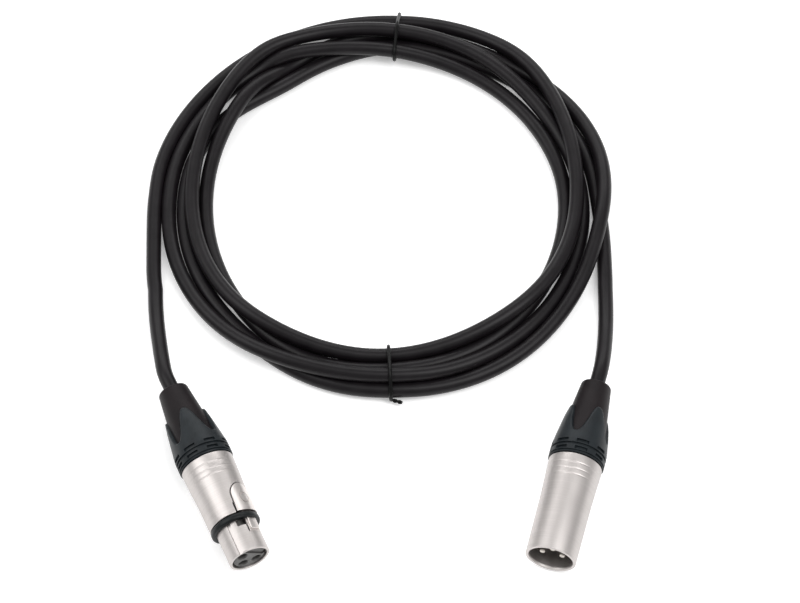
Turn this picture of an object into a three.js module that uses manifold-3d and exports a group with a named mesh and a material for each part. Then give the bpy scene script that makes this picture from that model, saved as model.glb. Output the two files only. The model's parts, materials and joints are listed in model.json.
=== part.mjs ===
// A 2.5 m microphone cable wound into a flat coil, with a female and a male three-pole connector.
// Units are millimetres and +Z is up. The origin is on the ground, midway between the two connectors.
import * as THREE from "three";
import { mergeVertices } from "three/addons/utils/BufferGeometryUtils.js";
import Module from "manifold-3d";

const wasm = await Module();
wasm.setup();

// ---------- driving dimensions ----------
const CABLE_RADIUS = 3;
const CABLE_BORE = 3.5; // the hole that the cable runs through in a boot and a chuck
const GAP = 0.3; // between neighbouring solids
const AXIS_HEIGHT = 10.8; // a connector lies on its widest ring

const COIL = { x: -0.9, y: 125.6, inner: 67.6, outer: 90.5, height: 11.6, corner: 3 };
const TIE = { thick: 1.2, wide: 2.6, at: [86, 272] }; // the angles round the coil, in degrees

// A connector's own axis is its local +Y, from the cable end of its boot (0) to its mating face.
// heading turns it about Z; roll turns its latch or key about its own axis, away from straight up.
const FEMALE = { x: -82.5, y: 36.1, heading: -155.9, length: 79.6, roll: -46, fingerRoll: 2 };
const MALE = { x: 82.2, y: 38.4, heading: 164.9, length: 77.8, roll: 180, fingerRoll: -29 };

// Stations along a connector's axis
const FINGER_TIP = 14.3; // where the hard ring's fingers start on the soft sleeve
const FINGER_ROOT = 27.2;
const SLEEVE_END = 29;
const RING_END = 37.2;
const SHELL_START = 37.5; // the shell's visible barrel starts here
const SPIGOT_START = 30; // the shell's threaded spigot, inside the boot's ring
const CHUCK_START = 15;
const CHUCK_END = 39;
const CORE_START = 35.6; // where the cable's jacket is stripped back
const CONTACT_BACK = 42.5;
const INSERT_BACK = 45;
const CAVITY_START = 40.6;

// Radii
const SLEEVE_TIP = 5.4;
const SLEEVE_BASE = 8.8;
const RING_RADIUS = 10.8;
const RING_BORE = 8.5;
const SPIGOT_RADIUS = 8.1;
const SPIGOT_BORE = 7.1;
const BARREL_BACK = 10.4;
const BARREL_BORE = 8.3;
const CONTACT_CIRCLE = 3.8;

// Female front
const BARREL_END = 62.6;
const GASKET_END = 66;
const GASKET_RADIUS = 10.1;
const SEAT_RADIUS = 8.3; // the neck that the gasket ring sits on
const NOSE_RADIUS = 7.9;
const NOSE_BORE = 6.9;
const FEMALE_BARREL_FRONT = 9.6;
const FEMALE_INSERT = 6.6;
const LATCH_BACK = 52;
const LATCH_HOOK = 72;
const LATCH_HALF = 4.7; // half the width of the push tab
const LATCH_NECK = 5.4; // the width of its neck and hook

// Male front
const MALE_BARREL_FRONT = 9.6;
const MALE_INSERT_FACE = 62;
const MALE_INSERT = 8;
const PIN_RADIUS = 1.2;

const ROUND = 32; // sides of a large turned part
const FINE = 16; // sides of a small turned part

// ---------- solids ----------
function toSolid(geometry) {
  const plain = geometry.clone();
  plain.deleteAttribute("normal");
  plain.deleteAttribute("uv");
  const merged = mergeVertices(plain, 1e-4);
  const mesh = new wasm.Mesh({
    numProp: 3,
    vertProperties: new Float32Array(merged.attributes.position.array),
    triVerts: new Uint32Array(merged.index.array),
  });
  return new wasm.Manifold(mesh);
}

function toGeometry(solid) {
  const { vertProperties, triVerts } = solid.getMesh();
  const geometry = new THREE.BufferGeometry();
  geometry.setAttribute("position", new THREE.BufferAttribute(vertProperties, 3));
  geometry.setIndex(new THREE.BufferAttribute(triVerts, 1));
  geometry.computeVertexNormals();
  return geometry;
}

// A turned solid from a closed profile of [radius, station], with its outer side climbing.
function turned(profile, sides = ROUND) {
  const points = profile.map(([r, s]) => new THREE.Vector2(r, s));
  const onAxis = profile[0][0] === 0;
  if (!onAxis) points.push(points[0].clone());
  return toSolid(new THREE.LatheGeometry(points, sides));
}

function block(width, length, height, x, y, z) {
  return toSolid(new THREE.BoxGeometry(width, length, height).translate(x, y, z));
}

// A straight tube of one radius between two stations, its bore left open at both ends.
function sleeveTube(outer, inner, from, to, sides = ROUND) {
  return turned([[outer, from], [outer, to], [inner, to], [inner, from]], sides);
}

function rod(radius, from, to, sides = FINE) {
  return turned([[0, from], [radius, from], [radius, to], [0, to]], sides);
}

function addMesh(parent, name, solid, material) {
  const geometry = solid.isBufferGeometry ? solid : toGeometry(solid);
  const mesh = new THREE.Mesh(geometry, material);
  mesh.name = name;
  parent.add(mesh);
  return mesh;
}

// ---------- materials ----------
function finish(color, roughness, metalness = 0) {
  return new THREE.MeshStandardMaterial({ color, roughness, metalness });
}
const jacket = () => finish(0x2a2729, 0.5);
const softRubber = () => finish(0x211d20, 0.6);
const hardPlastic = () => finish(0x23282d, 0.45);
const nickel = () => finish(0xbdb8b4, 0.35, 1);
const brightNickel = () => finish(0xd0cbc5, 0.22, 1);
const insertPlastic = () => finish(0x2c2b2b, 0.5);
const springSteel = () => finish(0x8d9094, 0.3, 1);
const tiePlastic = () => finish(0x141414, 0.4);
const CORES = { red: 0xb02c26, white: 0xe6e3dc, shield: 0xb87a4b };

// ---------- the boot, the chuck and the cores, alike on both connectors ----------
function bootSleeve() {
  return turned([
    [CABLE_BORE, 0], [SLEEVE_TIP - 0.9, 0], [SLEEVE_TIP - 0.2, 0.4], [SLEEVE_TIP, 1.4],
    [SLEEVE_BASE, SLEEVE_END - 2], [SLEEVE_BASE, SLEEVE_END], [6, SLEEVE_END], [6, CHUCK_START - 1],
    [CABLE_BORE, CHUCK_START - 4],
  ]);
}

// The notch between two fingers: round at its root, and widest at the tips.
function fingerNotch(turn) {
  const notch = new THREE.Shape();
  const rootWidth = 2.1;
  notch.moveTo(-6.2, FINGER_TIP - 4);
  notch.lineTo(6.2, FINGER_TIP - 4);
  notch.lineTo(5.2, FINGER_TIP + 1);
  notch.lineTo(rootWidth, FINGER_ROOT - rootWidth);
  notch.absarc(0, FINGER_ROOT - rootWidth, rootWidth, 0, Math.PI, false);
  notch.lineTo(-5.2, FINGER_TIP + 1);
  notch.closePath();
  const through = new THREE.ExtrudeGeometry(notch, { depth: 30, bevelEnabled: false, curveSegments: 5 });
  through.translate(0, 0, -15).rotateY(turn);
  return toSolid(through);
}

function bootRing() {
  const sleeveAt = (s) => SLEEVE_TIP + ((SLEEVE_BASE - SLEEVE_TIP) * (s - 1.4)) / (SLEEVE_END - 3.4);
  const wall = 0.8;
  const inner = (s) => sleeveAt(s) + GAP;
  let ring = turned([
    [inner(FINGER_TIP), FINGER_TIP], [inner(FINGER_TIP) + wall, FINGER_TIP],
    [RING_RADIUS - 0.6, FINGER_ROOT], [RING_RADIUS, 31], [RING_RADIUS, RING_END],
    [RING_BORE, RING_END], [RING_BORE, SLEEVE_END + GAP], [SLEEVE_BASE + GAP, SLEEVE_END + GAP],
    [SLEEVE_BASE + GAP, SLEEVE_END - 2],
  ]);
  for (const turn of [Math.PI / 4, (3 * Math.PI) / 4]) ring = ring.subtract(fingerNotch(turn));
  for (const station of [32, 34.8]) {
    ring = ring.subtract(sleeveTube(12, RING_RADIUS - 0.6, station, station + 0.8));
  }
  return ring;
}

function chuck() {
  let body = turned([
    [CABLE_BORE, CHUCK_START], [4.6, CHUCK_START], [5.6, CHUCK_START + 3], [5.6, SLEEVE_END + 1],
    [6.7, SLEEVE_END + 2.2], [6.7, CHUCK_END], [CABLE_BORE, CHUCK_END],
  ]);
  const slitLength = 12;
  for (const turn of [0, Math.PI / 2]) {
    const slit = new THREE.BoxGeometry(1, slitLength, 20).translate(0, CHUCK_START + slitLength / 2 - 0.5, 0);
    body = body.subtract(toSolid(slit.rotateY(turn)));
  }
  return body;
}

// Where the three contacts stand round the axis, seen with the latch or key straight up.
const CONTACT_ANGLES = { 1: 0, 2: 180, 3: 270 };

function contactSpot(pole) {
  const angle = THREE.MathUtils.degToRad(CONTACT_ANGLES[pole]);
  return new THREE.Vector3(CONTACT_CIRCLE * Math.cos(angle), 0, CONTACT_CIRCLE * Math.sin(angle));
}

// A cable core, from the stripped end of the jacket to its contact's solder cup.
function core(pole) {
  const target = contactSpot(pole);
  const start = target.clone().multiplyScalar(0.36).setY(CORE_START);
  const end = target.clone().setY(CONTACT_BACK - GAP);
  const path = new THREE.LineCurve3(start, end);
  const section = new THREE.Shape().absarc(0, 0, 0.7, 0, 2 * Math.PI, false);
  return new THREE.ExtrudeGeometry(section, { extrudePath: path, steps: 1, curveSegments: 4 });
}

function addRear(connector, label, fingerRoll, keyed) {
  const boot = new THREE.Group();
  boot.rotation.y = THREE.MathUtils.degToRad(fingerRoll);
  connector.add(boot);
  addMesh(boot, `${label}_boot_sleeve`, bootSleeve(), softRubber());
  addMesh(boot, `${label}_boot_ring`, bootRing(), hardPlastic());
  addMesh(keyed, `${label}_chuck`, chuck(), insertPlastic());
  Object.entries(CORES).forEach(([name, color], i) => {
    addMesh(keyed, `${label}_core_${name}`, core(i + 1), finish(color, 0.5));
  });
}

// ---------- female connector ----------
function femaleShell() {
  const { length } = FEMALE;
  const shell = turned([
    [SPIGOT_BORE, SPIGOT_START], [SPIGOT_RADIUS, SPIGOT_START], [SPIGOT_RADIUS, SHELL_START],
    [BARREL_BACK, SHELL_START], [BARREL_BACK, 42.6], [BARREL_BACK - 0.15, 42.9],
    [FEMALE_BARREL_FRONT, BARREL_END], [SEAT_RADIUS, BARREL_END], [SEAT_RADIUS, GASKET_END],
    [NOSE_RADIUS, GASKET_END], [NOSE_RADIUS, length - 0.4], [NOSE_RADIUS - 0.4, length],
    [NOSE_BORE, length], [NOSE_BORE, BARREL_END - 1.5], [BARREL_BORE, BARREL_END - 1.5],
    [BARREL_BORE, CAVITY_START], [SPIGOT_BORE, CAVITY_START],
  ]);
  const [tabFrom, tabTo] = [LATCH_BACK - 0.6, BARREL_END + 0.5];
  const [neckFrom, neckTo] = [BARREL_END - 3, LATCH_HOOK];
  const tabSlot = block(2 * LATCH_HALF + 1, tabTo - tabFrom, 4, 0, (tabFrom + tabTo) / 2, 8.4);
  const neckSlot = block(6.4, neckTo - neckFrom, 5, 0, (neckFrom + neckTo) / 2, 8.8);
  return shell.subtract(tabSlot).subtract(neckSlot);
}

function gasketRing() {
  const inner = SEAT_RADIUS + GAP;
  const [from, to] = [BARREL_END + GAP, GASKET_END - GAP];
  return turned([
    [inner, from], [9.4, from], [GASKET_RADIUS, from + 0.8], [GASKET_RADIUS, to - 0.8],
    [9.4, to], [inner, to],
  ]);
}

// The push tab, its neck under the gasket ring, and the hook that holds a mated plug.
function latch() {
  const tab = new THREE.Shape();
  const half = LATCH_HALF;
  tab.moveTo(half, BARREL_END - GAP);
  tab.lineTo(half, LATCH_BACK + half);
  tab.absarc(0, LATCH_BACK + half, half, 0, -Math.PI, true);
  tab.lineTo(-half, BARREL_END - GAP);
  tab.closePath();
  const plate = new THREE.ExtrudeGeometry(tab, { depth: 3, bevelEnabled: false, curveSegments: 10 });
  const barrel = rod(FEMALE_BARREL_FRONT + 0.1, LATCH_BACK - 1, BARREL_END, 48);
  const solid = toSolid(plate.translate(0, 0, 7.9)).intersect(barrel);
  const neckLength = LATCH_HOOK - BARREL_END + 1;
  const neck = block(LATCH_NECK, neckLength, 0.75, 0, BARREL_END - 2 + neckLength / 2, 7.6);
  const hookFrom = GASKET_END + GAP;
  const hookTo = BARREL_END - 2 + neckLength;
  const hook = block(LATCH_NECK, hookTo - hookFrom, 1.5, 0, (hookFrom + hookTo) / 2, 8.05);
  return solid.add(neck).add(hook);
}

function latchSpring() {
  return block(2.4, 6, 0.5, 0, 57.2, 7.4).add(block(2.4, 0.6, 0.9, 0, 59.9, 6.85));
}

function femaleInsert() {
  let insert = rod(FEMALE_INSERT, INSERT_BACK, FEMALE.length - 0.5, ROUND);
  for (const pole of [1, 2, 3]) {
    const { x, z } = contactSpot(pole);
    const hole = new THREE.CylinderGeometry(1.9, 1.9, 60, FINE).translate(x, 60, z);
    insert = insert.subtract(toSolid(hole));
  }
  return insert.subtract(block(6.8, 40, 4, 0, 68, 7.3));
}

function femaleContact(pole) {
  const { x, z } = contactSpot(pole);
  const socket = [
    [0, CONTACT_BACK], [1.3, CONTACT_BACK], [1.3, INSERT_BACK + 2], [1.6, INSERT_BACK + 2],
    [1.6, FEMALE.length - 2.5], [1.2, FEMALE.length - 2.5], [1.2, FEMALE.length - 15],
    [0, FEMALE.length - 15],
  ];
  return turned(socket, FINE).translate([x, 0, z]);
}

// ---------- male connector ----------
function maleShell() {
  const { length } = MALE;
  const shell = turned([
    [SPIGOT_BORE, SPIGOT_START], [SPIGOT_RADIUS, SPIGOT_START], [SPIGOT_RADIUS, SHELL_START],
    [BARREL_BACK, SHELL_START], [BARREL_BACK, 42.6], [BARREL_BACK - 0.15, 42.9],
    [MALE_BARREL_FRONT, length - 0.4], [MALE_BARREL_FRONT - 0.4, length], [BARREL_BORE, length],
    [BARREL_BORE, CAVITY_START], [SPIGOT_BORE, CAVITY_START],
  ]);
  const keyLength = length - MALE_INSERT_FACE - 1.5;
  return shell.add(block(2.4, keyLength, 1.4, 0, MALE_INSERT_FACE + 0.5 + keyLength / 2, BARREL_BORE - 0.3));
}

function maleInsert() {
  let insert = rod(MALE_INSERT, INSERT_BACK, MALE_INSERT_FACE, ROUND);
  for (const pole of [1, 2, 3]) {
    const { x, z } = contactSpot(pole);
    const hole = new THREE.CylinderGeometry(1.6, 1.6, 60, FINE).translate(x, 55, z);
    insert = insert.subtract(toSolid(hole));
  }
  return insert;
}

function malePin(pole) {
  const { x, z } = contactSpot(pole);
  const tip = MALE.length - 2;
  const pin = [
    [0, CONTACT_BACK], [PIN_RADIUS, CONTACT_BACK], [PIN_RADIUS, tip - 0.9],
    [PIN_RADIUS * 0.8, tip - 0.3], [PIN_RADIUS * 0.4, tip], [0, tip],
  ];
  return turned(pin, FINE).translate([x, 0, z]);
}

// ---------- placing a connector ----------
function placeConnector(root, { x, y, heading, roll }) {
  const connector = new THREE.Group();
  connector.position.set(x, y, AXIS_HEIGHT);
  connector.rotation.z = THREE.MathUtils.degToRad(heading);
  const keyed = new THREE.Group();
  keyed.rotation.y = THREE.MathUtils.degToRad(roll);
  connector.add(keyed);
  root.add(connector);
  return { connector, keyed };
}

function addFemale(root) {
  const { connector, keyed } = placeConnector(root, FEMALE);
  addRear(connector, "female", FEMALE.fingerRoll, keyed);
  addMesh(keyed, "female_shell", femaleShell(), nickel());
  addMesh(keyed, "female_gasket_ring", gasketRing(), tiePlastic());
  addMesh(keyed, "female_latch", latch(), brightNickel());
  addMesh(keyed, "female_latch_spring", latchSpring(), springSteel());
  addMesh(keyed, "female_insert", femaleInsert(), insertPlastic());
  for (const pole of [1, 2, 3]) addMesh(keyed, `female_contact_${pole}`, femaleContact(pole), brightNickel());
}

function addMale(root) {
  const { connector, keyed } = placeConnector(root, MALE);
  addRear(connector, "male", MALE.fingerRoll, keyed);
  addMesh(keyed, "male_shell", maleShell(), nickel());
  addMesh(keyed, "male_insert", maleInsert(), insertPlastic());
  for (const pole of [1, 2, 3]) addMesh(keyed, `male_pin_${pole}`, malePin(pole), brightNickel());
}

// ---------- the cable ----------
// From the boot's mouth, each tail drops to the ground and runs in beside the coil.
const FEMALE_TAIL = [
  [-86.6, 49.2, 9.4], [-88.1, 57.7, 7.2], [-89.5, 66.7, 5.3], [-90.6, 76.7, 3.9], [-91.1, 86.7, 3.3],
  [-90.9, 95.7, 3.1],
];
const MALE_TAIL = [
  [85.1, 51.7, 9], [86.1, 59.7, 6.6], [86.8, 67.7, 4.8], [87.2, 76.7, 3.6], [87.3, 84.7, 3.1],
  [87.2, 90.7, 3.1],
];

function alongAxis({ x, y, heading }, station) {
  const angle = THREE.MathUtils.degToRad(heading);
  return new THREE.Vector3(x - station * Math.sin(angle), y + station * Math.cos(angle), AXIS_HEIGHT);
}

function tail(connector, points) {
  const inside = [CORE_START - GAP, 22, 11, 0, -6].map((station) => alongAxis(connector, station));
  const route = new THREE.CatmullRomCurve3(
    [...inside, ...points.map((p) => new THREE.Vector3(...p))], false, "centripetal");
  const section = new THREE.Shape().absarc(0, 0, CABLE_RADIUS, 0, 2 * Math.PI, false);
  return new THREE.ExtrudeGeometry(section, { extrudePath: route, steps: 26, curveSegments: 5 });
}

function coilRing() {
  const { inner, outer, height, corner } = COIL;
  let ring = turned([
    [inner, corner], [inner + corner, 0], [outer - corner, 0], [outer, corner],
    [outer, height - corner], [outer - corner, height], [inner + corner, height], [inner, height - corner],
  ], 48);
  const width = outer - inner;
  for (const angle of TIE.at) {
    const notch = new THREE.BoxGeometry(width + 10, 2 * (TIE.thick + GAP), TIE.wide + 1.4);
    notch.translate((inner + outer) / 2, 0, 0).rotateY(THREE.MathUtils.degToRad(angle));
    ring = ring.subtract(toSolid(notch));
  }
  return ring;
}

// A wire tie: a round-cornered loop round the bundle, with its two ends twisted together.
function tie(angle) {
  const { inner, outer, height } = COIL;
  const middle = (inner + outer) / 2;
  const halfWidth = (outer - inner) / 2 + GAP;
  const loop = (grow, low, high) => {
    const [w, r] = [halfWidth + grow, 2.4 + grow];
    const outline = new THREE.Shape();
    outline.moveTo(middle - w + r, low);
    outline.absarc(middle + w - r, low + r, r, -Math.PI / 2, 0, false);
    outline.absarc(middle + w - r, high - r, r, 0, Math.PI / 2, false);
    outline.absarc(middle - w + r, high - r, r, Math.PI / 2, Math.PI, false);
    outline.absarc(middle - w + r, low + r, r, Math.PI, 1.5 * Math.PI, false);
    return outline;
  };
  const top = height + GAP;
  const around = loop(TIE.thick, 0, top + TIE.thick);
  around.holes.push(loop(0, TIE.thick, top));
  const band = new THREE.ExtrudeGeometry(around, { depth: TIE.wide, bevelEnabled: false, curveSegments: 4 });
  band.translate(0, 0, -TIE.wide / 2);
  const solid = toSolid(band).rotate([90, 0, 0]).rotate([0, 0, angle]);
  return solid.translate([COIL.x, COIL.y, 0]);
}

function addCable(root) {
  const ring = addMesh(root, "cable_coil", coilRing(), jacket());
  ring.rotation.x = Math.PI / 2;
  ring.position.set(COIL.x, COIL.y, 0);
  addMesh(root, "cable_tail_female", tail(FEMALE, FEMALE_TAIL), jacket());
  addMesh(root, "cable_tail_male", tail(MALE, MALE_TAIL), jacket());
  TIE.at.forEach((angle, i) => addMesh(root, `tie_${i + 1}`, tie(angle), tiePlastic()));
}

const cableAssembly = new THREE.Group();
addCable(cableAssembly);
addFemale(cableAssembly);
addMale(cableAssembly);

export default cableAssembly;
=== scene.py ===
"""A coiled microphone cable with a female and a male three-pole connector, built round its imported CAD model.

Lengths in the tables are millimetres, and MM turns them into the scene's metres. A connector's own axes are
+Y from the cable to its mating face and +Z towards its latch or key.
"""

import json
import math

import bmesh
import bpy
import numpy as np
from mathutils import Matrix, Vector, geometry


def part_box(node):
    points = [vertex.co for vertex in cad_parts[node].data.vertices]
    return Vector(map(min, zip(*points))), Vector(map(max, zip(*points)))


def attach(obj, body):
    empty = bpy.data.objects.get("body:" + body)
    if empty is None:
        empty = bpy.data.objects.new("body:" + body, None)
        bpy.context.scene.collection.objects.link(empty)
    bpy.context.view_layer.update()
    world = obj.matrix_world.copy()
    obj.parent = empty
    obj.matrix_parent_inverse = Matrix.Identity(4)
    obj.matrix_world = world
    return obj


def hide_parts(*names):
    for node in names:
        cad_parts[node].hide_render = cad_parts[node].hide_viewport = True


MM = 0.001
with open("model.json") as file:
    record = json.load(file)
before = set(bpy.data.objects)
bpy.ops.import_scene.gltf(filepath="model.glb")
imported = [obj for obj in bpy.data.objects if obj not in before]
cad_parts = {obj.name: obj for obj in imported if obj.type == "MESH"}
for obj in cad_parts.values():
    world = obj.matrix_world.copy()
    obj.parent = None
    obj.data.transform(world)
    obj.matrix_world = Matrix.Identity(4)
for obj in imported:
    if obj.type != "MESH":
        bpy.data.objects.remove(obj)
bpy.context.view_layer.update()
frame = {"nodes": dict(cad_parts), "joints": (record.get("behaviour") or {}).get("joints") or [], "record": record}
joints = {joint["name"]: joint for joint in frame["joints"]}

# ---------------------------------------------------------------- sizes
CABLE_RADIUS = 3.0
WIRE_RADIUS = 0.72
TURN_GAP = 0.05  # kept between the cable's turns
BUNDLE_WIDTH = 22.9  # across the turns, inside a tie
TIE_REACH = 6.0  # to each side of a tie, where the bundle keeps that width
HELD_END = 60.0  # of the cable at each end, which settling leaves alone
HUMP_HEIGHT = 1.4 * WIRE_RADIUS  # of the cable over the wire of a tie
HUMP_TOP, HUMP_END = 4, 26  # how far from the tie it is at its full height, and flat again
COIL_LOW, COIL_HIGH = (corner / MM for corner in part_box("cable_coil"))
COIL_CENTRE = (COIL_LOW + COIL_HIGH) / 2
COIL_OUTER = (COIL_HIGH.x - COIL_LOW.x) / 2

# Stations along a connector's axis, from the mouth of the CAD boot
BOOT_MOUTH = 2.2
FINGER_TIP, FINGER_ROOT = 14.3, 27.2
SLEEVE_END, RING_END = 29.0, 37.2
TAPER_START, TAPER_LENGTH = 1.4, SLEEVE_END - 3.4
SPIGOT_START, SHELL_START, CAVITY_START = 30.0, 37.5, 40.6
CONTACT_BACK, INSERT_BACK = 42.5, 45.0
BARREL_END, GASKET_END, FEMALE_END = 64.2, 66.3, 79.6
LATCH_BACK, LATCH_HOOK = 52.0, 72.0
MALE_INSERT_FACE, MALE_END = 62.0, 77.8

# Radii
BOOT_BORE = 3.2
SLEEVE_TIP, SLEEVE_BASE = 5.75, 8.8
RING_RADIUS, RING_BORE = 10.8, 8.5
SPIGOT_RADIUS, SPIGOT_BORE = 8.1, 7.1
BARREL_BACK, BARREL_BORE = 10.35, 8.3
FEMALE_BARREL_FRONT, MALE_BARREL_FRONT = 9.6, 9.6
GASKET_RADIUS, SEAT_RADIUS = 9.75, 8.3
NOSE_RADIUS, NOSE_BORE = 7.9, 6.9
PIN_RADIUS, PIN_HOLE = 1.2, 1.45
SOCKET_RADIUS, SOCKET_BORE = 1.6, 1.2
SOCKET_HOLE, SOCKET_MOUTH = 1.75, 2.15
FEMALE_INSERT, MALE_INSERT = 6.6, 8.0

LATCH_HALF = 4.9  # half the width of the push tab
LATCH_NECK = 5.0
MARK_STATION, MARK_INNER, MARK_OUTER = 58.5, 1.9, 2.3  # a ring pressed into the push tab
KEYWAY_ANGLE = 68  # from the latch, round the nose
KEY_LENGTH = 5.0  # of the rib deep in the male barrel
FINGER_ROLL = {"female": 2, "male": -29}
CONTACT_NODE = {"female": "female_contact_", "male": "male_pin_"}

# The barrels' fine grooves, and the ring's cuts as (station, half width, depth)
FINE_GROOVES = (41.1, 43.6, 45.9)
GRIP_GROOVES = [(33.6, 0.48, 0.6), (36.5, 0.3, 0.45)]
GRIP_SLOTS = [(32.0, 0.6, 0.8), (35.2, 0.6, 0.8)]

# Each wire tie: its angle round the coil, its lean, and its twisted end's reach outwards, sideways and up
TIES = [(86, -0.024, (0.3, 1.6, 0.2)), (272, 0.014, (1.7, 4.2, 0.5))]

# The same tails as in the CAD model, from each boot's mouth to the coil.
FEMALE_TAIL = [
    (-86.6, 49.2, 9.4), (-88.1, 57.7, 7.2), (-89.5, 66.7, 5.3), (-90.6, 76.7, 3.9), (-91.1, 86.7, 3.3),
    (-90.9, 95.7, 3.1),
]
MALE_TAIL = [
    (85.1, 51.7, 9.0), (86.1, 59.7, 6.6), (86.8, 67.7, 4.8), (87.2, 76.7, 3.6), (87.3, 84.7, 3.1),
    (87.2, 90.7, 3.1),
]


# ---------------------------------------------------------------- camera, floor and light
CAMERA_TARGET = (5.9, 80.2, 0.0)
CAMERA_AWAY, CAMERA_ELEVATION, CAMERA_LENS = 1092, 60, 123.8

# Area lights: the place and the size in metres, and the power. All are turned to one spot on the floor.
LIGHT_TARGET = (0, 0.08, 0)
LIGHTS = {
    "key": ((0.5, -0.2, 1.0), (0.45, 0.9), 7),
    "fill": ((-0.7, 0.1, 0.85), (0.6, 0.9), 5),
    "back": ((0.0, 0.95, 0.7), (1.4, 0.4), 6),
}


def add_camera():
    """Looks down on the coil from about a metre, with a long lens."""
    data = bpy.data.cameras.new("camera")
    camera = bpy.data.objects.new("camera", data)
    bpy.context.scene.collection.objects.link(camera)
    elevation = math.radians(CAMERA_ELEVATION)
    back = Vector((0, -math.cos(elevation), math.sin(elevation)))
    camera.location = Vector(CAMERA_TARGET) * MM + back * CAMERA_AWAY * MM
    camera.rotation_euler = (-back).to_track_quat("-Z", "Y").to_euler()
    data.sensor_width = 36
    data.lens = CAMERA_LENS
    bpy.context.scene.camera = camera


def add_area_light(name, place, size, power):
    data = bpy.data.lights.new(name, "AREA")
    data.shape = "RECTANGLE"
    data.size, data.size_y = size
    data.energy = power
    light = bpy.data.objects.new(name, data)
    light.location = place
    light.rotation_euler = (Vector(place) - Vector(LIGHT_TARGET)).to_track_quat("Z", "Y").to_euler()
    bpy.context.scene.collection.objects.link(light)


def add_world():
    world = bpy.data.worlds.new("studio")
    world.use_nodes = True
    sky = world.node_tree.nodes["Background"].inputs
    sky["Color"].default_value = (1, 1, 1, 1)
    sky["Strength"].default_value = 0.55
    bpy.context.scene.world = world


def add_floor():
    """A pale floor, with a weak glow of its own that keeps the shadows faint."""
    bpy.ops.mesh.primitive_plane_add(size=6, location=(0, 0.08, -0.0002))
    floor = bpy.context.object
    floor.name = "floor"
    pale, _, shader = new_material("floor")
    shader.inputs["Base Color"].default_value = (0.93, 0.93, 0.93, 1)
    shader.inputs["Roughness"].default_value = 0.9
    shader.inputs["Emission Color"].default_value = (1, 1, 1, 1)
    shader.inputs["Emission Strength"].default_value = 0.28
    floor.data.materials.append(pale)


def add_studio():
    bpy.context.scene.view_settings.view_transform = "Standard"
    add_world()
    for name, (place, size, power) in LIGHTS.items():
        add_area_light(name, place, size, power)
    add_floor()


# ---------------------------------------------------------------- material kit
def new_material(name):
    material = bpy.data.materials.new(name)
    material.use_nodes = True
    return material, material.node_tree, material.node_tree.nodes["Principled BSDF"]


def coordinates(tree, scale, source):
    """Texture coordinates, stretched by a scale along each axis."""
    place = tree.nodes.new("ShaderNodeTexCoord")
    mapping = tree.nodes.new("ShaderNodeMapping")
    mapping.inputs["Scale"].default_value = scale
    tree.links.new(place.outputs[source], mapping.inputs["Vector"])
    return mapping.outputs["Vector"]


def noise(tree, vector, scale, detail, roughness):
    node = tree.nodes.new("ShaderNodeTexNoise")
    node.inputs["Scale"].default_value = scale
    node.inputs["Detail"].default_value = detail
    node.inputs["Roughness"].default_value = roughness
    tree.links.new(vector, node.inputs["Vector"])
    return node.outputs["Fac"]


def ramp(tree, value, stops):
    """Maps a value to colours at stops of (position, colour)."""
    node = tree.nodes.new("ShaderNodeValToRGB")
    elements = node.color_ramp.elements
    while len(elements) < len(stops):
        elements.new(0.5)
    for element, (position, color) in zip(elements, stops):
        element.position = position
        element.color = (*color, 1)
    tree.links.new(value, node.inputs["Fac"])
    return node.outputs["Color"]


def span(tree, value, low, high):
    """Maps a value between 0 and 1 to low to high."""
    node = tree.nodes.new("ShaderNodeMapRange")
    node.inputs["To Min"].default_value = low
    node.inputs["To Max"].default_value = high
    tree.links.new(value, node.inputs["Value"])
    return node.outputs["Result"]


def bump(tree, height, distance):
    node = tree.nodes.new("ShaderNodeBump")
    node.inputs["Strength"].default_value = 0.6
    node.inputs["Distance"].default_value = distance
    tree.links.new(height, node.inputs["Height"])
    return node.outputs["Normal"]


def textured(name, dark, light, rough, grain, grain_depth, metal=0.0, gloss=0.5, stretch=(1, 1, 1),
             source="Object"):
    """A surface with mottled colour and roughness, and a fine grain in its relief."""
    material, tree, shader = new_material(name)
    vector = coordinates(tree, stretch, source)
    patches = noise(tree, vector, grain * 0.06, 3, 0.55)
    fine = noise(tree, vector, grain, 5, 0.6)
    tree.links.new(ramp(tree, patches, [(0.3, dark), (0.7, light)]), shader.inputs["Base Color"])
    tree.links.new(span(tree, fine, *rough), shader.inputs["Roughness"])
    tree.links.new(bump(tree, fine, grain_depth), shader.inputs["Normal"])
    shader.inputs["Metallic"].default_value = metal
    shader.inputs["Specular IOR Level"].default_value = gloss
    return material


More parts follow.
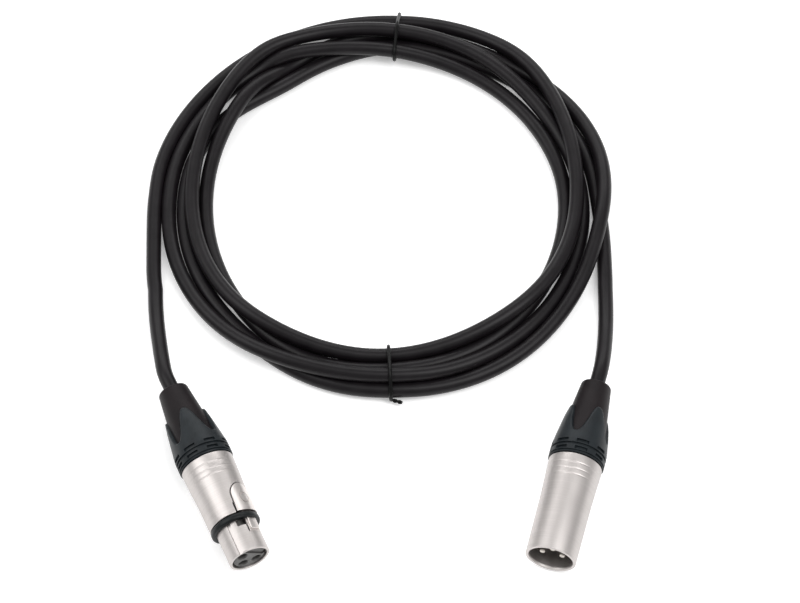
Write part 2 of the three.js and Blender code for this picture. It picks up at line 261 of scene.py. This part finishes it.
# Each surface: its darkest and lightest colour, its roughness from and to, its grain's fineness and depth in
# metres, and what else it has
SURFACES = {
    "cable_jacket": ((0.0046, 0.0036, 0.0045), (0.0078, 0.0064, 0.0076), (0.32, 0.44), 2600, 0.00004,
                     {"gloss": 0.19}),
    "boot_rubber": ((0.005, 0.0032, 0.004), (0.009, 0.006, 0.007), (0.44, 0.60), 2200, 0.00005,
                    {"gloss": 0.17}),
    "boot_plastic": ((0.007, 0.0095, 0.0115), (0.011, 0.015, 0.018), (0.36, 0.5), 3400, 0.00003,
                     {"gloss": 0.22}),
    "gasket": ((0.004, 0.005, 0.0055), (0.007, 0.0087, 0.0095), (0.32, 0.46), 2400, 0.00003,
               {"gloss": 0.2}),
    "nickel_shell": ((0.44, 0.412, 0.40), (0.53, 0.50, 0.485), (0.38, 0.50), 60, 0.00002,
                     {"metal": 1.0, "stretch": (0.6, 40, 1), "source": "UV"}),
    "latch_metal": ((0.60, 0.56, 0.54), (0.70, 0.66, 0.635), (0.30, 0.40), 900, 0.00001, {"metal": 1.0}),
    "contact_metal": ((0.46, 0.43, 0.39), (0.56, 0.53, 0.49), (0.24, 0.34), 900, 0.00001, {"metal": 1.0}),
    "spring_steel": ((0.45, 0.45, 0.46), (0.56, 0.56, 0.57), (0.2, 0.3), 900, 0.00001, {"metal": 1.0}),
    "insert": ((0.050, 0.048, 0.046), (0.075, 0.072, 0.069), (0.42, 0.55), 2600, 0.00003, {}),
    "tie": ((0.002, 0.002, 0.002), (0.004, 0.004, 0.004), (0.30, 0.42), 1800, 0.00002, {"gloss": 0.15}),
    "core_red": ((0.38, 0.02, 0.02), (0.48, 0.03, 0.03), (0.3, 0.4), 1500, 0.00001, {}),
    "core_white": ((0.70, 0.68, 0.64), (0.80, 0.78, 0.74), (0.3, 0.4), 1500, 0.00001, {}),
    "core_shield": ((0.50, 0.27, 0.15), (0.66, 0.38, 0.22), (0.25, 0.4), 1500, 0.00002, {"metal": 1.0}),
}
MATERIALS = {}


def make_materials():
    for name, (dark, light, rough, grain, depth, others) in SURFACES.items():
        MATERIALS[name] = textured(name, dark, light, rough, grain, depth, **others)


def dress(piece, slot, body, *replaced):
    """Gives a piece the material of its slot and its body, and hides the CAD nodes that it stands for."""
    piece.data.materials.clear()
    piece.data.materials.append(MATERIALS[slot])
    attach(piece, body)
    if replaced:
        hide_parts(*replaced)
    return piece


# ---------------------------------------------------------------- the cable's route
# Where the cable crosses each quarter of the coil, clockwise from the female tail: left, far, right and near
# sides in turn. Each entry is the distance from the coil's centre and the height.
LANES = [
    (87.9, 3.0), (88.0, 3.0), (78.0, 13.5), (76.4, 9.0),
    (79.5, 9.5), (79.9, 9.2), (81.6, 8.0), (82.8, 9.0),
    (86.7, 9.0), (72.6, 9.2), (75.4, 3.0), (79.2, 3.0),
    (73.2, 3.4), (80.0, 3.4), (86.8, 9.5), (85.4, 3.0),
    (80.6, 3.0), (73.2, 3.0), (86.3, 3.0),
]
STEP = 3.0  # between the route's points
SINK_STEP = 0.06  # of the cable in each round of settling


def connector_frame(label):
    """A connector's place: its origin at the boot's mouth, and +Y towards its mating face."""
    turn = joints[f"{label}_boot_turn"]
    forward = -Vector(turn["axis"]).normalized()
    up = Vector((0, 0, 1))
    rows = Matrix((forward.cross(up), forward, up)).transposed().to_4x4()
    return Matrix.Translation(Vector(turn["pos_m"])) @ rows


def on_axis(label, station):
    return np.array(connector_frame(label) @ Vector((0, station * MM, 0))) / MM


def through(points, step):
    """Points a step apart on a smooth curve through the given ones."""
    points = np.array(points, float)
    padded = np.vstack([2 * points[0] - points[1], points, 2 * points[-1] - points[-2]])
    t = np.linspace(0, 1, 24, endpoint=False)[:, None]
    pieces = []
    for a, b, c, d in zip(padded, padded[1:], padded[2:], padded[3:]):
        pieces.append(0.5 * (2 * b + (c - a) * t + (2 * a - 5 * b + 4 * c - d) * t**2
                             + (3 * b - a - 3 * c + d) * t**3))
    dense = np.vstack([*pieces, points[-1:]])
    along = np.r_[0, np.cumsum(np.linalg.norm(np.diff(dense, axis=0), axis=1))]
    at = np.linspace(0, along[-1], int(along[-1] / step) + 1)
    return np.stack([np.interp(at, along, dense[:, i]) for i in range(3)], axis=1)


def eased(share):
    """A share from 0 to 1 that starts and ends gently."""
    return share * share * (3 - 2 * share)


def lane_point(quarter):
    """A point of the wound cable, with quarter counting quarter turns from the left side."""
    low = min(int(quarter), len(LANES) - 2)
    share = eased(quarter - low)
    radius, height = np.array(LANES[low]) * (1 - share) + np.array(LANES[low + 1]) * share
    angle = math.pi * (1 - quarter / 2)
    return (COIL_CENTRE.x + radius * math.cos(angle), COIL_CENTRE.y + radius * math.sin(angle), height)


def cable_seed():
    """The cable's route before it settles, from inside the female boot to inside the male one."""
    quarters = len(LANES) - 1
    wound = [lane_point(i / 8) for i in range(8 * quarters + 1)]
    start = [on_axis("female", station) for station in (8, 4, 0, -6)]
    end = [on_axis("male", station) for station in (-6, 0, 4, 8)]
    return through([*start, *FEMALE_TAIL, *wound, *MALE_TAIL[::-1], *end], STEP)


def close_pairs(points, reach):
    """Pairs of points that are near each other in space, but more than six steps apart along the cable."""
    gap = np.linalg.norm(points[:, None] - points[None], axis=2)
    i, j = np.nonzero(gap < reach)
    keep = j - i > 6
    return i[keep], j[keep]


def resting_height(points):
    """How low the cable can sink at each point: to the ground, or onto the wire of a tie."""
    spot = points[:, :2] - np.array(COIL_CENTRE.xy)
    height = np.full(len(points), CABLE_RADIUS)
    for degrees, _, _ in TIES:
        outward = np.array([math.cos(math.radians(degrees)), math.sin(math.radians(degrees))])
        away = np.abs(spot @ np.array([-outward[1], outward[0]]))
        share = np.clip((HUMP_END - away) / (HUMP_END - HUMP_TOP), 0, 1) * (spot @ outward > 0)
        height += HUMP_HEIGHT * eased(share)
    return height


def push_apart(points, i, j):
    """Moves each point of a pair away from the other, where the cable would pass through itself."""
    apart = points[i] - points[j]
    gap = np.linalg.norm(apart, axis=1)
    push = np.clip(2 * CABLE_RADIUS + TURN_GAP - gap, 0, None) * 0.4
    shift = apart * (push / np.maximum(gap, 1e-6))[:, None]
    np.add.at(points, i, shift)
    np.add.at(points, j, -shift)


def squeeze_in_ties(points, near_tie):
    """Keeps the bundle inside the ties' loops."""
    spot = points[near_tie, :2] - np.array(COIL_CENTRE.xy)
    radius = np.linalg.norm(spot, axis=1)
    wanted = np.clip(radius, COIL_OUTER - BUNDLE_WIDTH + CABLE_RADIUS, COIL_OUTER - CABLE_RADIUS)
    points[near_tie, :2] += spot * ((wanted / radius - 1) * 0.5)[:, None]


def spread(change):
    """Shares out each point's movement along the cable, so that the cable stays smooth."""
    for _ in range(3):
        change[1:-1] += 0.35 * ((change[:-2] + change[2:]) / 2 - change[1:-1])


def settle(seed, rounds=260):
    """Lets the wound cable sink and pushes its turns apart, until they lie on each other."""
    points = seed.copy()
    held = int(HELD_END / STEP)
    free = np.ones((len(points), 1), bool)
    free[:held] = False
    free[-held:] = False
    near_tie = np.abs(points[:, 0] - COIL_CENTRE.x) < TIE_REACH
    for turn in range(rounds):
        if turn % 8 == 0:
            i, j = close_pairs(points, 2 * CABLE_RADIUS + TURN_GAP + 5)
        moved = points.copy()
        if turn < rounds * 0.7:
            moved[:, 2] -= SINK_STEP
        push_apart(moved, i, j)
        squeeze_in_ties(moved, near_tie)
        moved[:, 2] = np.maximum(moved[:, 2], resting_height(moved))
        change = (moved - seed) * free
        spread(change)
        points = seed + change * free
        lifted = np.maximum(points[:, 2], resting_height(points))
        points[:, 2] = np.where(free[:, 0], lifted, points[:, 2])
    return points


def rod(name, points, radius, scales, resolution):
    """A round rod through points, of a radius that is scaled at each of them."""
    data = bpy.data.curves.new(name, "CURVE")
    data.dimensions = "3D"
    data.bevel_depth = radius * MM
    data.bevel_resolution = resolution
    data.use_fill_caps = True
    spline = data.splines.new("POLY")
    spline.points.add(len(points) - 1)
    for point, place, scale in zip(spline.points, points, scales):
        point.co = (*(place * MM), 1)
        point.radius = scale
    spline.use_smooth = True
    piece = bpy.data.objects.new(name, data)
    bpy.context.scene.collection.objects.link(piece)
    return piece


def build_cable():
    route = settle(cable_seed())
    cable = rod("cable", route, CABLE_RADIUS, np.ones(len(route)), 7)
    dress(cable, "cable_jacket", "root", "cable_coil", "cable_tail_female", "cable_tail_male")
    return cable, route


# ---------------------------------------------------------------- shape kit
TEXTURE_LENGTH = 20.0  # along a turned solid's outline


def keyed_frame(label):
    """A connector's place, with +Z towards its latch or key, which is opposite its third contact."""
    place = connector_frame(label)
    middle = place.inverted() @ (sum(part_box(f"{CONTACT_NODE[label]}3"), Vector()) / 2)
    return place @ Matrix.Rotation(math.atan2(-middle.x, -middle.z), 4, "Y")


def rolled_frame(label):
    """A connector's place, turned to where its boot's fingers are."""
    return connector_frame(label) @ Matrix.Rotation(math.radians(FINGER_ROLL[label]), 4, "Y")


def rounded(corners, steps=5):
    """A closed outline from corners of (radius, station, fillet), with each fillet as a curve."""
    outline = []
    for i, (r, s, fillet) in enumerate(corners):
        here = Vector((r, s))
        if fillet == 0:
            outline.append(here)
            continue
        before = Vector(corners[i - 1][:2]) - here
        after = Vector(corners[(i + 1) % len(corners)][:2]) - here
        first = here + before.normalized() * min(fillet, before.length * 0.48)
        last = here + after.normalized() * min(fillet, after.length * 0.48)
        for t in np.linspace(0, 1, steps):
            outline.append(first * (1 - t) ** 2 + here * 2 * t * (1 - t) + last * t**2)
    return outline


def mark_sharp(mesh, angle=38):
    """Shades a mesh smooth, but for the edges that turn more sharply than an angle."""
    work = bmesh.new()
    work.from_mesh(mesh)
    for face in work.faces:
        face.smooth = True
    for edge in work.edges:
        edge.smooth = len(edge.link_faces) == 2 and edge.calc_face_angle(0) < math.radians(angle)
    work.to_mesh(mesh)
    work.free()


def new_piece(name, work, place, angle=38):
    """Turns a bmesh in a connector's millimetres into an object in its place."""
    bmesh.ops.recalc_face_normals(work, faces=work.faces)
    bmesh.ops.scale(work, vec=(MM, MM, MM), verts=work.verts)
    mesh = bpy.data.meshes.new(name)
    work.to_mesh(mesh)
    work.free()
    mesh.transform(place)
    mark_sharp(mesh, angle)
    piece = bpy.data.objects.new(name, mesh)
    bpy.context.scene.collection.objects.link(piece)
    return piece


def add_face(work, uv, corners):
    """Adds a face from corners of (vertex, place on the texture), with each vertex once."""
    spots = {}
    for vert, spot in corners:
        spots.setdefault(vert, spot)
    face = work.faces.new(list(spots))
    for loop, spot in zip(face.loops, spots.values()):
        loop[uv].uv = spot


def ring_verts(work, radius, station, segments, at):
    """A ring of vertices about +Y, or the one vertex on the axis."""
    count = segments if radius > 0 else 1
    angles = (2 * math.pi * k / segments for k in range(count))
    return [work.verts.new((at[0] + radius * math.sin(a), station, at[1] + radius * math.cos(a)))
            for a in angles]


def turned(name, outline, place, segments=128, at=(0, 0)):
    """A solid turned about +Y from a closed outline of (radius, station), with u round it and v along it."""
    work = bmesh.new()
    uv = work.loops.layers.uv.new("UVMap")
    rings = [ring_verts(work, r, s, segments, at) for r, s in outline]
    steps = [(Vector(b) - Vector(a)).length for a, b in zip(outline, outline[1:] + outline[:1])]
    along = np.cumsum([0, *steps]) / TEXTURE_LENGTH
    for i, ring in enumerate(rings):
        after = rings[(i + 1) % len(rings)]
        if len(ring) == len(after) == 1:
            continue
        for k in range(segments):
            corners = [(ring, k, i), (ring, k + 1, i), (after, k + 1, i + 1), (after, k, i + 1)]
            add_face(work, uv, [(verts[index % len(verts)], (index / segments, along[row]))
                                for verts, index, row in corners])
    return new_piece(name, work, place)


def grid_solid(name, rows, place, angle):
    """A closed solid from rows of points: each row is a ring, and the last row joins the first."""
    work = bmesh.new()
    uv = work.loops.layers.uv.new("UVMap")
    verts = [[work.verts.new(point) for point in row] for row in rows]
    width, count = len(rows[0]), len(rows)
    for i, row in enumerate(verts):
        after = verts[(i + 1) % count]
        for k in range(width):
            n = (k + 1) % width
            corners = [(row[k], k, i), (row[n], k + 1, i), (after[n], k + 1, i + 1), (after[k], k, i + 1)]
            add_face(work, uv, [(vert, (u / width, v / count)) for vert, u, v in corners])
    return new_piece(name, work, place, angle)


def block(name, size, middle, place, bevel):
    """A box with rounded edges, of a size along X, Y and Z."""
    work = bmesh.new()
    bmesh.ops.create_cube(work, size=1, matrix=Matrix.Translation(middle) @ Matrix.Diagonal((*size, 1)))
    if bevel:
        bmesh.ops.bevel(work, geom=work.edges, offset=bevel, segments=3, profile=0.5, affect="EDGES")
    return new_piece(name, work, place)


def combine(piece, operation, *others):
    """Cuts other pieces from a piece, or joins them to it, and drops them."""
    for other in others:
        modifier = piece.modifiers.new("combine", "BOOLEAN")
        modifier.operation = operation
        modifier.object = other
        modifier.solver = "EXACT"
        bpy.context.view_layer.update()
        shaped = piece.evaluated_get(bpy.context.evaluated_depsgraph_get())
        mesh = bpy.data.meshes.new_from_object(shaped)
        piece.modifiers.clear()
        piece.data = mesh
        bpy.data.objects.remove(other)
    mark_sharp(piece.data)


def soften(piece, width):
    """Rounds the sharp edges of a piece."""
    modifier = piece.modifiers.new("soften", "BEVEL")
    modifier.width = width * MM
    modifier.segments = 2
    modifier.limit_method = "ANGLE"
    modifier.angle_limit = math.radians(40)
    modifier.harden_normals = True


# ---------------------------------------------------------------- the boot, alike on both connectors
def sleeve_radius(station):
    share = (station - TAPER_START) / TAPER_LENGTH
    return SLEEVE_TIP + (SLEEVE_BASE - SLEEVE_TIP) * np.clip(share, 0, 1)


def build_sleeve(label):
    outline = rounded([
        (BOOT_BORE, BOOT_MOUTH, 0.4), (sleeve_radius(BOOT_MOUTH), BOOT_MOUTH, 0.9),
        (sleeve_radius(SLEEVE_END - 2), SLEEVE_END - 2, 1),
        (SLEEVE_BASE, SLEEVE_END, 0.2), (6, SLEEVE_END, 0), (6, 14, 1), (BOOT_BORE, 11, 1),
    ])
    sleeve = turned(f"{label}_sleeve", outline, rolled_frame(label), 96)
    return dress(sleeve, "boot_rubber", f"{label}_boot", f"{label}_boot_sleeve")


def finger_edge(angle):
    """The station of the ring's free edge: four round-tipped fingers, the first at angle 0."""
    quarter = math.pi / 2
    aside = np.abs((angle + quarter / 2) % quarter - quarter / 2) / (quarter / 2)
    return FINGER_TIP + (FINGER_ROOT - FINGER_TIP) * (1 - (1 - aside**2.6) ** 3.1)


def edge_distance(angle, station, edge_angles):
    """How far points on the ring lie from its free edge, measured over its surface."""
    across = (angle[..., None] - edge_angles + math.pi) % (2 * math.pi) - math.pi
    along = station[..., None] - finger_edge(edge_angles)
    return np.sqrt((across * 9.2) ** 2 + along**2).min(axis=-1)


def grip_depth(angle, station):
    """How deep the ring's grooves and its rows of short slots are cut at each point."""
    depth = np.zeros(station.shape)
    for middle, half, cut in GRIP_GROOVES:
        depth = np.where(np.abs(station - middle) < half, cut, depth)
    in_slot = np.abs(angle % (math.pi / 4) - math.pi / 8) < math.radians(12.5)
    for middle, half, cut in GRIP_SLOTS:
        depth = np.where(in_slot & (np.abs(station - middle) < half), cut, depth)
    return depth


def ring_stations(edge):
    """Rows along the ring's outer side: some follow its free edge, and the rest lie beside its cuts."""
    fixed = [29, 30, 30.8, 31.2, 36.95]
    for middle, half, _ in GRIP_GROOVES + GRIP_SLOTS:
        fixed += [middle + side * half + step for side in (-1, 1) for step in (-0.05, 0.05)]
    fixed.sort()
    rows = [edge + share**1.6 * (fixed[0] - edge) for share in np.linspace(0, 1, 22, endpoint=False)]
    return np.array(rows + [np.full(len(edge), station) for station in fixed])


def ring_outside(stations, angles):
    """The ring's outer radius, which falls to the sleeve at its free edge and dips in its cuts."""
    around = np.broadcast_to(angles, stations.shape)
    hull = np.interp(stations, [FINGER_TIP, 20, FINGER_ROOT, 31, 32, 36.8, RING_END],
                     [8.1, 9.15, 10.2, 10.72, RING_RADIUS, RING_RADIUS, 10.6])
    under = sleeve_radius(stations) + 0.02
    edge_fall = 1 - np.clip(edge_distance(around, stations, angles) / 0.7, 0, 1)
    return under + (hull - under) * np.sqrt(1 - edge_fall**2) - grip_depth(around, stations)


def ring_inside(edge, angles):
    """Rows of the ring's inner side, from the shell back to its free edge."""
    count = len(angles)
    rows = []
    for r, s in ((10.55, RING_END), (RING_BORE, RING_END), (RING_BORE, SLEEVE_END + 0.3),
                 (SLEEVE_BASE + 0.3, SLEEVE_END + 0.2)):
        rows.append(ring_points(np.full(count, r), np.full(count, s), angles))
    for share in np.linspace(0, 1, 8, endpoint=False):
        station = SLEEVE_END - 0.3 + share * (edge - SLEEVE_END + 0.3)
        rows.append(ring_points(sleeve_radius(station) + 0.01, station, angles))
    return rows


def build_ring(label):
    """The hard ring: its outer side from the fingers' edge to the shell, and its inner side back again."""
    angles = np.linspace(0, 2 * math.pi, 288, endpoint=False)
    edge = finger_edge(angles)
    stations = ring_stations(edge)
    rows = [ring_points(r, s, angles) for r, s in zip(ring_outside(stations, angles), stations)]
    rows += ring_inside(edge, angles)
    ring = grid_solid(f"{label}_ring", rows, rolled_frame(label), 50)
    return dress(ring, "boot_plastic", f"{label}_boot", f"{label}_boot_ring")


def ring_points(radius, station, angles):
    return np.stack([radius * np.sin(angles), station, radius * np.cos(angles)], axis=1).tolist()


# ---------------------------------------------------------------- shells
def barrel_back():
    """The shell's outline from its threaded spigot to the end of its three fine grooves."""
    outline = [
        (SPIGOT_BORE, SPIGOT_START, 0), (SPIGOT_RADIUS, SPIGOT_START, 0.3), (SPIGOT_RADIUS, SHELL_START, 0),
        (BARREL_BACK, SHELL_START, 0.25),
    ]
    radius = BARREL_BACK
    for station in FINE_GROOVES:
        radius -= 0.09
        outline += [(radius, station - 0.35, 0.15), (radius - 0.1, station, 0.15)]
        outline.append((radius - 0.02, station + 0.35, 0.15))
    return outline


def build_female_shell(place):
    outline = rounded([
        *barrel_back(), (9.72, 52, 3), (FEMALE_BARREL_FRONT, BARREL_END, 0.3), (SEAT_RADIUS, BARREL_END, 0),
        (SEAT_RADIUS, GASKET_END, 0), (NOSE_RADIUS, GASKET_END, 0.2), (NOSE_RADIUS, FEMALE_END, 0.35),
        (NOSE_BORE, FEMALE_END, 0.25), (NOSE_BORE, BARREL_END - 1.5, 0), (BARREL_BORE, BARREL_END - 1.5, 0),
        (BARREL_BORE, CAVITY_START, 0), (SPIGOT_BORE, CAVITY_START, 0),
    ])
    shell = turned("female_barrel", outline, place, 160)
    cutters = [
        tab_plate("tab_slot", place, LATCH_HALF + 0.35, LATCH_BACK - 0.35, BARREL_END + 0.4, 6.6, 11),
        slot_cutter("wide_slot", place, 11.4, GASKET_END + 2.9, 5.2),
        slot_cutter("hook_slot", place, LATCH_NECK + 0.8, LATCH_HOOK + 0.3, 5.9),
        keyway_cutter(place),
    ]
    combine(shell, "DIFFERENCE", *cutters)
    return dress(shell, "nickel_shell", "root", "female_shell")


def slot_cutter(name, place, width, front, low):
    """A slot for the latch, open outwards, from under the barrel to a front end."""
    back = 60
    return block(name, (width, front - back, 6), (0, (front + back) / 2, low + 3), place, 0)


def keyway_cutter(place):
    """The slot along the nose that a mating plug's key runs in."""
    turn = place @ Matrix.Rotation(math.radians(KEYWAY_ANGLE), 4, "Y")
    return block("keyway", (1.5, 20, 2), (0, GASKET_END + 9.9, NOSE_RADIUS + 0.4), turn, 0)


def build_male_shell(place):
    outline = rounded([
        *barrel_back(), (9.78, 54, 3), (MALE_BARREL_FRONT, MALE_END, 0.3),
        (BARREL_BORE + 0.25, MALE_END, 0.15), (BARREL_BORE, MALE_END - 0.8, 0.2),
        (BARREL_BORE, CAVITY_START, 0), (SPIGOT_BORE, CAVITY_START, 0),
    ])
    shell = turned("male_barrel", outline, place, 160)
    middle = (0, MALE_INSERT_FACE + 0.5 + KEY_LENGTH / 2, BARREL_BORE - 0.25)
    key = block("key", (2.2, KEY_LENGTH, 1.3), middle, place, 0.2)
    combine(shell, "UNION", key)
    return dress(shell, "nickel_shell", "root", "male_shell")


# ---------------------------------------------------------------- latch and gasket
def tab_plate(name, place, half, back, front, low, high):
    """A plate with a rounded back end, standing between two heights."""
    stations = [back + half * (1 - math.cos(a)) for a in np.linspace(0.06, math.pi / 2, 12)]
    widths = [half * math.sin(a) for a in np.linspace(0.06, math.pi / 2, 12)]
    outline = [(w, s) for w, s in zip(widths, stations)] + [(half + 0.35, front), (-half - 0.35, front)]
    outline += [(-w, s) for w, s in reversed(list(zip(widths, stations)))]
    work = bmesh.new()
    bottom = [work.verts.new((x, s, low)) for x, s in outline]
    top = [work.verts.new((x, s, high)) for x, s in outline]
    work.faces.new(bottom)
    work.faces.new(list(reversed(top)))
    for i in range(len(outline)):
        n = (i + 1) % len(outline)
        work.faces.new((bottom[i], top[i], top[n], bottom[n]))
    return new_piece(name, work, place)


def build_latch(place):
    """The push tab flush with the barrel, its neck under the gasket ring, and the hook in the nose."""
    tab = tab_plate("female_push", place, LATCH_HALF, LATCH_BACK, BARREL_END - 0.3, 7.9, 11)
    crown = rounded([(0, LATCH_BACK - 2, 0), (9.95, LATCH_BACK - 2, 0), (9.75, BARREL_END + 1, 0),
                     (0, BARREL_END + 1, 0)])
    combine(tab, "INTERSECT", turned("crown", crown, place, 160))
    upright = Matrix.Translation(Vector((0, MARK_STATION, 10.4)) * MM) @ Matrix.Rotation(math.pi / 2, 4, "X")
    corners = [(MARK_INNER, -1), (MARK_OUTER, -1), (MARK_OUTER, 1), (MARK_INNER, 1)]
    mark = turned("mark", corners, place @ upright, 48)
    neck = block("neck", (LATCH_NECK, 12.6, 0.75), (0, 66, 7.6), place, 0.1)
    rear, front = GASKET_END + 0.4, LATCH_HOOK - 0.4
    hook = block("hook", (LATCH_NECK - 0.6, front - rear, 1.3), (0, (front + rear) / 2, 8.1), place, 0.3)
    combine(tab, "DIFFERENCE", mark)
    combine(tab, "UNION", neck, hook)
    soften(tab, 0.16)
    return dress(tab, "latch_metal", "female_latch", "female_latch")


def build_gasket(place):
    back, front, lip = BARREL_END + 0.15, GASKET_END + 0.5, NOSE_RADIUS + 0.06
    seat = SEAT_RADIUS + 0.15
    outline = rounded([
        (seat, back, 0), (FEMALE_BARREL_FRONT - 0.5, back, 0.2), (GASKET_RADIUS, back + 0.5, 0.8),
        (GASKET_RADIUS, front, 1.1), (lip, front, 0.2), (lip, GASKET_END + 0.06, 0),
        (seat, GASKET_END + 0.06, 0),
    ], 9)
    return dress(turned("female_gasket", outline, place), "gasket", "root", "female_gasket_ring")


# ---------------------------------------------------------------- inserts and contacts
def contact_spots(label):
    """Where the three contacts stand in the keyed frame, from the CAD model, as (x, z)."""
    back = keyed_frame(label).inverted()
    middles = [back @ (sum(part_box(f"{CONTACT_NODE[label]}{pole}"), Vector()) / 2) / MM for pole in (1, 2, 3)]
    return [(middle.x, middle.z) for middle in middles]


def build_female_insert(place):
    face = FEMALE_END - 0.5
    outline = rounded([
        (0, INSERT_BACK, 0), (FEMALE_INSERT, INSERT_BACK, 0), (FEMALE_INSERT, face - 1.1, 0),
        (FEMALE_INSERT - 0.5, face - 1.1, 0.2), (FEMALE_INSERT - 0.5, face, 0.25), (0, face, 0),
    ])
    insert = turned("female_insert_face", outline, place, 96)
    bore = rounded([(0, 44, 0), (SOCKET_HOLE, 44, 0), (SOCKET_HOLE, face - 0.5, 0.1),
                    (SOCKET_MOUTH, face + 0.1, 0), (0, face + 0.1, 0)])
    holes = [turned(f"hole_{i}", bore, place, 32, spot) for i, spot in enumerate(contact_spots("female"))]
    holes.append(block("latch_room", (6.8, 40, 4), (0, 68, 7.3), place, 0))
    holes.append(block("step", (9, 1.2, 5), (0, face, 5.3), place, 0))
    combine(insert, "DIFFERENCE", *holes)
    return dress(insert, "insert", "root", "female_insert")


def build_male_insert(place):
    outline = rounded([
        (0, INSERT_BACK, 0), (MALE_INSERT, INSERT_BACK, 0.2), (MALE_INSERT, MALE_INSERT_FACE, 0.5),
        (6.6, MALE_INSERT_FACE, 0.3), (6.2, MALE_INSERT_FACE - 1, 0.3), (0, MALE_INSERT_FACE - 1, 0),
    ])
    insert = turned("male_insert_face", outline, place, 96)
    bore = [(0, 44), (PIN_HOLE, 44), (PIN_HOLE, 63), (0, 63)]
    holes = [turned(f"hole_{i}", bore, place, 32, spot) for i, spot in enumerate(contact_spots("male"))]
    combine(insert, "DIFFERENCE", *holes)
    return dress(insert, "insert", "root", "male_insert")


def build_contacts(label, place):
    """Sockets in the female connector and round-ended pins in the male one, with solder cups at the back."""
    cup = [(0, 44.5, 0), (0.85, 44.5, 0), (0.85, CONTACT_BACK, 0), (1.15, CONTACT_BACK, 0.1)]
    tip, mouth = MALE_END - 2, FEMALE_END - 2.5
    shapes = {
        "male": [*cup, (PIN_RADIUS, 46, 0.2), (PIN_RADIUS, tip, PIN_RADIUS * 0.9), (0, tip, 0)],
        "female": [*cup, (1.3, 47, 0), (SOCKET_RADIUS, 47, 0.1), (SOCKET_RADIUS, mouth, 0.25),
                   (SOCKET_BORE, mouth, 0.15), (SOCKET_BORE, mouth - 12.5, 0), (0, mouth - 12.5, 0)],
    }
    made = []
    for pole, spot in enumerate(contact_spots(label), 1):
        piece = turned(f"{label}_pole_{pole}", rounded(shapes[label], 7), place, 40, spot)
        made.append(dress(piece, "contact_metal", "root", f"{CONTACT_NODE[label]}{pole}"))
    return made


def build_connector(label):
    place = keyed_frame(label)
    pieces = [build_sleeve(label), build_ring(label), *build_contacts(label, place)]
    if label == "female":
        pieces += [build_female_shell(place), build_latch(place), build_gasket(place)]
        pieces.append(build_female_insert(place))
    else:
        pieces += [build_male_shell(place), build_male_insert(place)]
    return pieces


# ---------------------------------------------------------------- wire ties
def strand_crossings(route, angle):
    """Where the cable crosses a line from the coil's centre, as (distance along it, height)."""
    outward = np.array([math.cos(angle), math.sin(angle)])
    spot = route[:, :2] - np.array(COIL_CENTRE.xy)
    across = spot @ np.array([-outward[1], outward[0]])
    along = spot @ outward
    found = []
    for i in np.nonzero((across[:-1] * across[1:] <= 0) & (along[:-1] > 0))[0]:
        share = across[i] / (across[i] - across[i + 1])
        found.append((along[i] + share * (along[i + 1] - along[i]),
                      route[i, 2] + share * (route[i + 1, 2] - route[i, 2])))
    return found


def bundle_outline(route, angle):
    """The loop that a tight wire takes round the strands, as points of (distance, 0, height)."""
    reach = CABLE_RADIUS + WIRE_RADIUS
    turn = np.linspace(0, 2 * math.pi, 32, endpoint=False)
    rim = [Vector((r + reach * math.cos(a), z + reach * math.sin(a)))
           for r, z in strand_crossings(route, angle) for a in turn]
    hull = [(rim[i].x, max(rim[i].y, WIRE_RADIUS)) for i in geometry.convex_hull_2d(rim)]
    start = max(range(len(hull)), key=lambda i: hull[i][0] - hull[i][1] / 2)
    loop = hull[start:] + hull[:start + 1]
    return through([(x, 0, z) for x, z in loop], 1.0)


def twisted_end(start, reach, side):
    """One of two thin strands twisted round each other, from a tie's loop along a reach."""
    along = np.linspace(0, 1, 20)[1:, None]
    reach = np.array(reach)
    across = np.cross(reach, (0, 0, 1.0))
    across /= np.linalg.norm(across)
    up = np.cross(across, reach / np.linalg.norm(reach))
    spin = along * np.linalg.norm(reach) * 1.6 + (0 if side > 0 else math.pi)
    return start + reach * along + WIRE_RADIUS * 0.55 * (across * np.cos(spin) + up * np.sin(spin))


def build_tie(number, route, angle, lean, reach):
    """A wire bound once round the bundle, whose two ends are twisted together at its outer side."""
    loop = bundle_outline(route, angle)
    loop[:, 1] = (loop[:, 0] - loop[:, 0].mean()) * lean
    ends = [twisted_end(loop[0], reach, side) for side in (1, -1)]
    points = np.vstack([ends[0][::-1], loop, ends[1]])
    points[:, 2] = np.maximum(points[:, 2], WIRE_RADIUS)
    thin = np.full(len(ends[0]), 0.6)
    scales = np.concatenate([thin, np.ones(len(loop)), thin])
    outward = np.array([math.cos(angle), math.sin(angle)])
    sideways = np.array([-outward[1], outward[0]])
    flat = np.array(COIL_CENTRE.xy) + points[:, :1] * outward + points[:, 1:2] * sideways
    tie = rod(f"wire_tie_{number}", np.column_stack([flat, points[:, 2]]), WIRE_RADIUS, scales, 5)
    dress(tie, "tie", "root", f"tie_{number}")


# ---------------------------------------------------------------- the whole
def dress_inner_nodes():
    """Gives the CAD nodes that stay, which are all inside the connectors, their materials."""
    slots = {part["node"]: part["material_slot"] for part in frame["record"]["subparts"]}
    kept = [f"{label}_{name}" for label in ("female", "male")
            for name in ("chuck", "core_red", "core_white", "core_shield")] + ["female_latch_spring"]
    for name in kept:
        node = frame["nodes"][name]
        node.data.materials.clear()
        node.data.materials.append(MATERIALS[slots[name]])
    return [frame["nodes"][name] for name in kept if name.startswith("male")]


add_camera()
make_materials()
cable, cable_route = build_cable()
for number, (degrees, lean, reach) in enumerate(TIES, 1):
    build_tie(number, cable_route, math.radians(degrees), lean, reach)
build_connector("female")
male_pieces = build_connector("male") + dress_inner_nodes()
add_studio()
